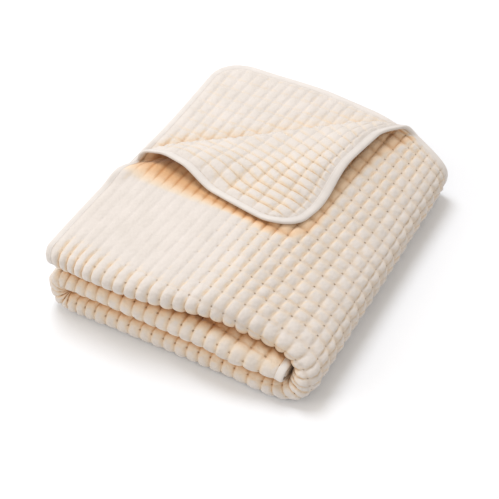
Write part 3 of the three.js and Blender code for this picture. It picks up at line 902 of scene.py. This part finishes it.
def build_binding(stations, tree, material):
    """The binding: one section after another, joined round the cloth's edge."""
    keep = [0]
    for k in range(1, len(stations)):
        if np.hypot(*(stations[k] - stations[keep[-1]])) > LEAST_STATION_GAP:
            keep.append(k)
    u, v = stations[keep].T
    _, du, dv = off_edge(u, v)
    rings = [place(u + off * du, v + off * dv, np.full_like(u, w)) for off, w in BINDING_SECTION]
    points = np.stack(rings, axis=1).reshape(-1, 3)
    points[:, 2] = np.maximum(points[:, 2], 0)
    total = len(keep)
    count = len(BINDING_SECTION)
    faces = []
    for k in range(total):
        here = k * count
        there = ((k + 1) % total) * count
        for s in range(count):
            s2 = (s + 1) % count
            faces.append((here + s, here + s2, there + s2, there + s))
    obj = make_object("throw_binding", points, faces, material)
    around = points.reshape(-1, count, 3)
    normals = (around - around.mean(axis=1, keepdims=True)).reshape(-1, 3)
    normals /= np.linalg.norm(normals, axis=1, keepdims=True)
    # Painted shade on the binding where the cloth shuts it in
    add_layer(obj, "occlusion_shade", occlusion_shade(tree, points, normals))
    return obj


def principled(name, roughness):
    material = bpy.data.materials.new(name)
    material.use_nodes = True
    shader = material.node_tree.nodes["Principled BSDF"]
    shader.inputs["Roughness"].default_value = roughness
    return material, material.node_tree, shader


def attribute(tree, name):
    """The number that add_layer gave each point."""
    node = tree.nodes.new("ShaderNodeAttribute")
    node.attribute_name = name
    return node.outputs["Fac"]


def noise(tree, scale, detail, rough=0.55):
    node = tree.nodes.new("ShaderNodeTexNoise")
    node.inputs["Scale"].default_value = scale
    node.inputs["Detail"].default_value = detail
    node.inputs["Roughness"].default_value = rough
    coords = tree.nodes.new("ShaderNodeTexCoord")
    tree.links.new(coords.outputs["Object"], node.inputs["Vector"])
    return node.outputs["Fac"]


def ramp(tree, source, stops):
    node = tree.nodes.new("ShaderNodeValToRGB")
    elements = node.color_ramp.elements
    while len(elements) < len(stops):
        elements.new(0.5)
    for element, (place_at, color) in zip(elements, stops):
        element.position = place_at
        element.color = (*color, 1)
    tree.links.new(source, node.inputs["Fac"])
    return node.outputs["Color"]


def multiply(tree, first, second):
    """Product of two colours."""
    node = tree.nodes.new("ShaderNodeMix")
    node.data_type = "RGBA"
    node.blend_type = "MULTIPLY"
    node.inputs["Factor"].default_value = 1.0
    tree.links.new(first, node.inputs["A"])
    tree.links.new(second, node.inputs["B"])
    return node.outputs["Result"]


def math_node(tree, operation, first, second=None):
    node = tree.nodes.new("ShaderNodeMath")
    node.operation = operation
    for socket, value in zip(node.inputs, (first, second)):
        if isinstance(value, (int, float)):
            socket.default_value = value
        elif value is not None:
            tree.links.new(value, socket)
    return node.outputs[0]


def map_range(tree, source, low, high, at_low, at_high):
    node = tree.nodes.new("ShaderNodeMapRange")
    node.inputs["From Min"].default_value = low
    node.inputs["From Max"].default_value = high
    node.inputs["To Min"].default_value = at_low
    node.inputs["To Max"].default_value = at_high
    tree.links.new(source, node.inputs["Value"])
    return node.outputs["Result"]


def bump(tree, height, strength, distance, below=None):
    node = tree.nodes.new("ShaderNodeBump")
    node.inputs["Strength"].default_value = strength
    node.inputs["Distance"].default_value = distance
    tree.links.new(height, node.inputs["Height"])
    if below is not None:
        tree.links.new(below.outputs["Normal"], node.inputs["Normal"])
    return node


# Stitch hole: 1 inside its core and 0 past its rim, in millimetres, and fainter in the first columns
HOLE_CORE = 0.3
HOLE_RIM = 1.6
FAINT_COLUMN = 3
CLEAR_COLUMN = 12
FAINT_HOLE = 0.35

# Colours of the plush: its cream with painted shade by recess, in patches, and painted shade in stitch
# holes, along seams, and in shut-in seams
PLUSH_AND_SHADE_TONES = [
    (0.02, (0.615, 0.59, 0.58)),
    (0.14, (0.665, 0.582, 0.49)),
    (0.38, (0.69, 0.52, 0.37)),
    (0.7, (0.60, 0.36, 0.19)),
]
PATCH_TONES = [(0.3, (0.93, 0.93, 0.92)), (0.7, (1.0, 1.0, 1.0))]
HOLE_SHADE_TONES = [(0.0, (1.0, 1.0, 1.0)), (1.0, (0.72, 0.6, 0.48))]
SEAM_SHADE_TONES = [(0.5, (1.0, 1.0, 1.0)), (1.0, (0.97, 0.93, 0.88))]
DEEP_SEAM_SHADE_TONES = [(0.12, (1.0, 1.0, 1.0)), (0.5, (0.80, 0.67, 0.54))]
SEAM_SHADE_WHERE_PRESSED = 0.15

# Colours of the binding: in patches, and painted shade by recess
BINDING_TONES = [(0.3, (0.59, 0.575, 0.57)), (0.7, (0.63, 0.615, 0.61))]
BINDING_SHADE_TONES = [(0.4, (1.0, 1.0, 1.0)), (0.65, (0.97, 0.84, 0.70)), (0.9, (0.75, 0.55, 0.36))]


def off_groove(tree, name, width):
    """Distance in millimetres to the nearest quilting groove of one direction."""
    shifted = math_node(tree, "ADD", attribute(tree, name), 0.5)
    centred = math_node(tree, "SUBTRACT", math_node(tree, "FRACT", shifted), 0.5)
    return math_node(tree, "MULTIPLY", math_node(tree, "ABSOLUTE", centred), width)


def stitch_hole(tree):
    """1 in the small stitch hole at each crossing of the grooves, 0 away from it."""
    across = off_groove(tree, "column", COLUMN_WIDTH)
    along = off_groove(tree, "row", ROW_DEPTH)
    across = math_node(tree, "MULTIPLY", across, across)
    along = math_node(tree, "MULTIPLY", along, along)
    distance = math_node(tree, "SQRT", math_node(tree, "ADD", across, along))
    hole = map_range(tree, distance, HOLE_CORE, HOLE_RIM, 1, 0)
    marked = map_range(tree, attribute(tree, "column"), FAINT_COLUMN, CLEAR_COLUMN, FAINT_HOLE, 1)
    hole = math_node(tree, "MULTIPLY", hole, attribute(tree, "loose"))
    return math_node(tree, "MULTIPLY", hole, marked)


def plush_material():
    material, tree, shader = principled("plush_cream", roughness=0.92)
    hole = stitch_hole(tree)
    loose = attribute(tree, "loose")
    painted_shade = attribute(tree, "occlusion_shade")
    groove = attribute(tree, "groove")
    # Painted shade along the seams, fainter where the cells are pressed
    seam_shade = math_node(tree, "MULTIPLY", groove, math_node(tree, "ADD", loose, SEAM_SHADE_WHERE_PRESSED))
    # Cream darkened and warmed by painted shade where the cloth is shut in
    tint = ramp(tree, painted_shade, PLUSH_AND_SHADE_TONES)
    for source, tones in (
        (noise(tree, scale=28, detail=4), PATCH_TONES),
        # Painted shade in the stitch holes
        (hole, HOLE_SHADE_TONES),
        (seam_shade, SEAM_SHADE_TONES),
        # Painted shade in seams that are shut in
        (math_node(tree, "MULTIPLY", groove, painted_shade), DEEP_SEAM_SHADE_TONES),
    ):
        tint = multiply(tree, tint, ramp(tree, source, tones))
    tree.links.new(tint, shader.inputs["Base Color"])
    shader.inputs["Sheen Weight"].default_value = 0.35
    shader.inputs["Sheen Roughness"].default_value = 0.5
    shader.inputs["Sheen Tint"].default_value = (1.0, 0.95, 0.88, 1)
    shader.inputs["Specular IOR Level"].default_value = 0.2
    pile = noise(tree, scale=900, detail=4, rough=0.65)
    pile = bump(tree, pile, strength=0.35, distance=0.0012)
    clumps = noise(tree, scale=165, detail=2, rough=0.5)
    clumps = bump(tree, clumps, strength=0.42, distance=0.003, below=pile)
    crumple = math_node(tree, "MULTIPLY", noise(tree, scale=70, detail=1, rough=0.4), loose)
    crumple = bump(tree, crumple, strength=0.4, distance=0.006, below=clumps)
    pucker = bump(tree, hole, strength=0.8, distance=0.002, below=crumple)
    pucker.invert = True
    tree.links.new(pucker.outputs["Normal"], shader.inputs["Normal"])
    return material


def binding_material():
    material, tree, shader = principled("binding_cream", roughness=0.8)
    tone = ramp(tree, noise(tree, scale=60, detail=2), BINDING_TONES)
    # Painted shade where the cloth shuts the binding in
    painted_shade = ramp(tree, attribute(tree, "occlusion_shade"), BINDING_SHADE_TONES)
    tree.links.new(multiply(tree, tone, painted_shade), shader.inputs["Base Color"])
    shader.inputs["Sheen Weight"].default_value = 0.2
    shader.inputs["Specular IOR Level"].default_value = 0.25
    weave = bump(tree, noise(tree, scale=1400, detail=2), strength=0.2, distance=0.0005)
    tree.links.new(weave.outputs["Normal"], shader.inputs["Normal"])
    return material


# Camera: it looks down on the bundle from its front right
CAMERA_AZIMUTH = math.radians(30.055)
CAMERA_ELEVATION = math.radians(50.047)
CAMERA_LENS = 93.48
CAMERA_SENSOR = 36
CAMERA_DISTANCE = 1.8777
CAMERA_AIM = (0.0054, -0.0299, 0.0273)

# Studio: a pale floor just below the throw, soft light from all round and two lamps
FLOOR_REACH = 40.0
FLOOR_Z = -0.0003
FLOOR_COLOR = (0.775, 0.815, 0.875, 1)
WORLD_COLOR = (1.0, 0.90, 0.79, 1)
WORLD_STRENGTH = 0.86
LAMPS = [
    # name, place, aim, size, power, colour
    ("key", (-0.85, 0.6, 2.5), (0, 0, 0), 1.3, 43, (0.95, 0.97, 1.0)),
    ("fill", (-1.6, -1.6, 1.3), (0, 0, 0.05), 1.4, 15, (1.0, 0.92, 0.84)),
]


def add_camera():
    level = math.cos(CAMERA_ELEVATION)
    back = Vector((
        math.sin(CAMERA_AZIMUTH) * level,
        -math.cos(CAMERA_AZIMUTH) * level,
        math.sin(CAMERA_ELEVATION),
    ))
    camera = bpy.data.cameras.new("camera")
    camera.lens = CAMERA_LENS
    camera.sensor_width = CAMERA_SENSOR
    obj = bpy.data.objects.new("camera", camera)
    obj.location = Vector(CAMERA_AIM) + CAMERA_DISTANCE * back
    obj.rotation_euler = back.to_track_quat("Z", "Y").to_euler()
    bpy.context.scene.collection.objects.link(obj)
    bpy.context.scene.camera = obj


def add_lamp(name, place_at, aim, size, power, color):
    light = bpy.data.lights.new(name, "AREA")
    light.shape = "DISK"
    light.size = size
    light.energy = power
    light.color = color
    obj = bpy.data.objects.new(name, light)
    obj.location = place_at
    direction = Vector(place_at) - Vector(aim)
    obj.rotation_euler = direction.to_track_quat("Z", "Y").to_euler()
    bpy.context.scene.collection.objects.link(obj)


def add_floor():
    mesh = bpy.data.meshes.new("floor")
    corners = [(-1, -1), (1, -1), (1, 1), (-1, 1)]
    mesh.from_pydata([(x * FLOOR_REACH, y * FLOOR_REACH, 0) for x, y in corners], [], [(0, 1, 2, 3)])
    floor = bpy.data.objects.new("floor", mesh)
    floor.location.z = FLOOR_Z
    bpy.context.scene.collection.objects.link(floor)
    material, _, shader = principled("floor_white", roughness=0.9)
    shader.inputs["Base Color"].default_value = FLOOR_COLOR
    shader.inputs["Specular IOR Level"].default_value = 0.1
    mesh.materials.append(material)


def add_studio():
    add_floor()
    scene = bpy.context.scene
    if scene.world is None:
        scene.world = bpy.data.worlds.new("studio")
    scene.world.use_nodes = True
    background = scene.world.node_tree.nodes["Background"]
    background.inputs["Color"].default_value = WORLD_COLOR
    background.inputs["Strength"].default_value = WORLD_STRENGTH
    for lamp in LAMPS:
        add_lamp(*lamp)
    scene.view_settings.view_transform = "Standard"
    scene.view_settings.exposure = 0.0


add_camera()
add_studio()
plush = plush_material()
trim = binding_material()
cloth, edge_stations, cloth_tree = build_cloth(plush)
binding = build_binding(edge_stations, cloth_tree, trim)
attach(cloth, "root")
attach(binding, "root")
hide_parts("cloth_panel")
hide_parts("edge_binding")
